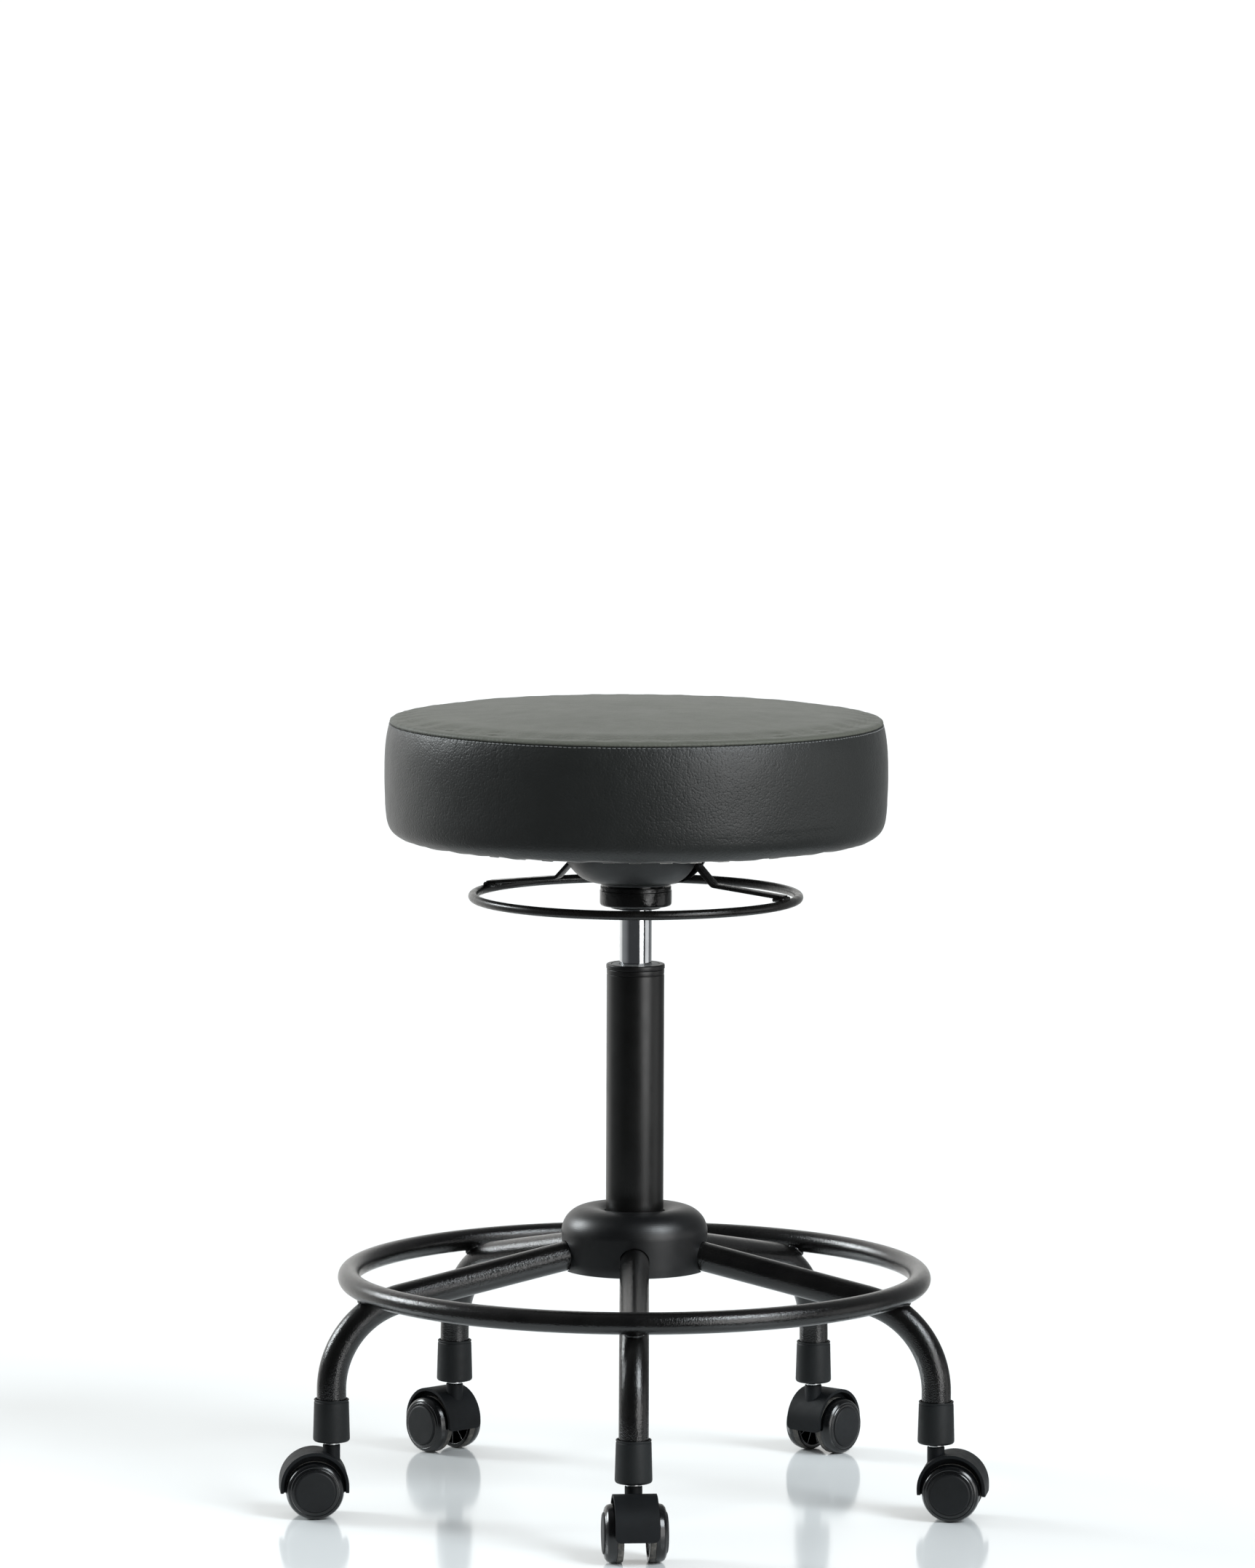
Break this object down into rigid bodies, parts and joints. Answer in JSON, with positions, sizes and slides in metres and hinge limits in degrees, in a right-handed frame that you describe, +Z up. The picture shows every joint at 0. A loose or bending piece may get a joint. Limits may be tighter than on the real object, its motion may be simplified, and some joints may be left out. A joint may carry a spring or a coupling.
{
  "type": "adjustable swivel stool",
  "caption": "Round padded stool on a gas lift with a ring-shaped height release, a bent-tube base with a foot ring, and twin-wheel casters.",
  "frame": {"origin": "on the floor, under the middle of the bounding box; the column's axis is 26 mm behind it", "axes": "+Z up, the front leg points to -Y, +X to the right seen from the front"},
  "size_m": [0.6137, 0.5876, 0.694],
  "materials": {
    "hammertone": "gloss black powder coat with a fine hammered texture",
    "black_steel": "satin black paint",
    "ring_black": "satin black powder coat",
    "chrome": "polished chrome plate",
    "bare_steel": "machined steel",
    "zinc_plate": "zinc plate",
    "satin_plastic": "satin black plastic",
    "matte_plastic": "matte black plastic with a fine spark texture",
    "bush_plastic": "black acetal with a pale wiper ring",
    "wheel_nylon": "black nylon, glossy rim, matte cap",
    "button_red": "red plastic",
    "vinyl_top": "charcoal vinyl, fine leather grain",
    "vinyl_side": "charcoal vinyl, fine leather grain",
    "foam": "open-cell polyurethane foam",
    "plywood": "birch plywood, raw",
    "dust_cloth": "non-woven black cloth"
  },
  "bodies": {
    "base": {"hub_sleeve": "black_steel", "hub_cover": "satin_plastic", "column_tube": "black_steel", "guide_bush": "bush_plastic", "foot_ring": "hammertone", "leg_front": "hammertone", "leg_front_right": "hammertone", "leg_back_right": "hammertone", "leg_back_left": "hammertone", "leg_front_left": "hammertone", "leg_sleeve_front": "matte_plastic", "leg_sleeve_front_right": "matte_plastic", "leg_sleeve_back_right": "matte_plastic", "leg_sleeve_back_left": "matte_plastic", "leg_sleeve_front_left": "matte_plastic"},
    "lift_rod": {"piston_rod": "bare_steel", "gas_piston": "zinc_plate", "thrust_bearing": "bare_steel", "rod_clip": "bare_steel"},
    "seat": {"gas_cylinder": "chrome", "seat_socket": "black_steel", "dome_cover": "matte_plastic", "mounting_plate": "black_steel", "dust_cover": "dust_cloth", "seat_board": "plywood", "seat_foam": "foam", "seat_side_band": "vinyl_side", "seat_top_panel": "vinyl_top", "seat_bolt_1": "zinc_plate", "seat_bolt_2": "zinc_plate", "seat_bolt_3": "zinc_plate", "seat_bolt_4": "zinc_plate"},
    "release_lever": {"release_ring": "ring_black", "release_crossbar": "ring_black"},
    "button": {"valve_button": "button_red"},
    "caster_front": {"caster_housing_front": "matte_plastic", "caster_stem_front": "bare_steel", "caster_axle_front": "bare_steel"},
    "left_wheel_front": {"wheel_left_front": "wheel_nylon"},
    "right_wheel_front": {"wheel_right_front": "wheel_nylon"},
    "caster_front_right": {"caster_housing_front_right": "matte_plastic", "caster_stem_front_right": "bare_steel", "caster_axle_front_right": "bare_steel"},
    "left_wheel_front_right": {"wheel_left_front_right": "wheel_nylon"},
    "right_wheel_front_right": {"wheel_right_front_right": "wheel_nylon"},
    "caster_back_right": {"caster_housing_back_right": "matte_plastic", "caster_stem_back_right": "bare_steel", "caster_axle_back_right": "bare_steel"},
    "left_wheel_back_right": {"wheel_left_back_right": "wheel_nylon"},
    "right_wheel_back_right": {"wheel_right_back_right": "wheel_nylon"},
    "caster_back_left": {"caster_housing_back_left": "matte_plastic", "caster_stem_back_left": "bare_steel", "caster_axle_back_left": "bare_steel"},
    "left_wheel_back_left": {"wheel_left_back_left": "wheel_nylon"},
    "right_wheel_back_left": {"wheel_right_back_left": "wheel_nylon"},
    "caster_front_left": {"caster_housing_front_left": "matte_plastic", "caster_stem_front_left": "bare_steel", "caster_axle_front_left": "bare_steel"},
    "left_wheel_front_left": {"wheel_left_front_left": "wheel_nylon"},
    "right_wheel_front_left": {"wheel_right_front_left": "wheel_nylon"}
  },
  "joints": [
    {"name": "seat_swivel", "type": "hinge", "parent": "base", "child": "lift_rod", "pos_m": [0, 0.026, 0.2085], "axis": [0, 0, 1], "continuous": true},
    {"name": "seat_lift", "type": "slide", "parent": "lift_rod", "child": "seat", "axis": [0, 0, 1], "range_m": [0, 0.165]},
    {"name": "release_tilt", "type": "hinge", "parent": "seat", "child": "release_lever", "pos_m": [0.01926, 0.01763, 0.564], "axis": [-0.3987, -0.9171, 0], "range_deg": [0, 7.5], "stiffness_Nm_per_rad": 1.5, "springref_deg": -20.05},
    {"name": "valve_press", "type": "slide", "parent": "seat", "child": "button", "axis": [0, 0, 1], "range_m": [-0.00275, 0]},
    {"name": "caster_swivel_front", "type": "hinge", "parent": "base", "child": "caster_front", "pos_m": [0, -0.248, 0.064], "axis": [0, 0, 1], "continuous": true},
    {"name": "left_wheel_roll_front", "type": "hinge", "parent": "caster_front", "child": "left_wheel_front", "pos_m": [0.00131, -0.26294, 0.025], "axis": [0.9962, 0.0872, 0], "continuous": true},
    {"name": "right_wheel_roll_front", "type": "hinge", "parent": "caster_front", "child": "right_wheel_front", "pos_m": [0.00131, -0.26294, 0.025], "axis": [0.9962, 0.0872, 0], "continuous": true},
    {"name": "caster_swivel_front_right", "type": "hinge", "parent": "base", "child": "caster_front_right", "pos_m": [0.26059, -0.05867, 0.064], "axis": [0, 0, 1], "continuous": true},
    {"name": "left_wheel_roll_front_right", "type": "hinge", "parent": "caster_front_right", "child": "left_wheel_front_right", "pos_m": [0.27544, -0.06076, 0.025], "axis": [0.1392, 0.9903, 0], "continuous": true},
    {"name": "right_wheel_roll_front_right", "type": "hinge", "parent": "caster_front_right", "child": "right_wheel_front_right", "pos_m": [0.27544, -0.06076, 0.025], "axis": [0.1392, 0.9903, 0], "continuous": true},
    {"name": "caster_swivel_back_right", "type": "hinge", "parent": "base", "child": "caster_back_right", "pos_m": [0.16105, 0.24767, 0.064], "axis": [0, 0, 1], "continuous": true},
    {"name": "left_wheel_roll_back_right", "type": "hinge", "parent": "caster_back_right", "child": "left_wheel_back_right", "pos_m": [0.17069, 0.25916, 0.025], "axis": [-0.766, 0.6428, 0], "continuous": true},
    {"name": "right_wheel_roll_back_right", "type": "hinge", "parent": "caster_back_right", "child": "right_wheel_back_right", "pos_m": [0.17069, 0.25916, 0.025], "axis": [-0.766, 0.6428, 0], "continuous": true},
    {"name": "caster_swivel_back_left", "type": "hinge", "parent": "base", "child": "caster_back_left", "pos_m": [-0.16105, 0.24767, 0.064], "axis": [0, 0, 1], "continuous": true},
    {"name": "left_wheel_roll_back_left", "type": "hinge", "parent": "caster_back_left", "child": "left_wheel_back_left", "pos_m": [-0.17128, 0.25864, 0.025], "axis": [-0.7314, -0.682, 0], "continuous": true},
    {"name": "right_wheel_roll_back_left", "type": "hinge", "parent": "caster_back_left", "child": "right_wheel_back_left", "pos_m": [-0.17128, 0.25864, 0.025], "axis": [-0.7314, -0.682, 0], "continuous": true},
    {"name": "caster_swivel_front_left", "type": "hinge", "parent": "base", "child": "caster_front_left", "pos_m": [-0.26059, -0.05867, 0.064], "axis": [0, 0, 1], "continuous": true},
    {"name": "left_wheel_roll_front_left", "type": "hinge", "parent": "caster_front_left", "child": "left_wheel_front_left", "pos_m": [-0.27553, -0.05998, 0.025], "axis": [0.0872, -0.9962, 0], "continuous": true},
    {"name": "right_wheel_roll_front_left", "type": "hinge", "parent": "caster_front_left", "child": "right_wheel_front_left", "pos_m": [-0.27553, -0.05998, 0.025], "axis": [0.0872, -0.9962, 0], "continuous": true}
  ],
  "couplings": [
    {"joint": "valve_press", "follows": "release_tilt", "m_per_rad": -0.021}
  ]
}
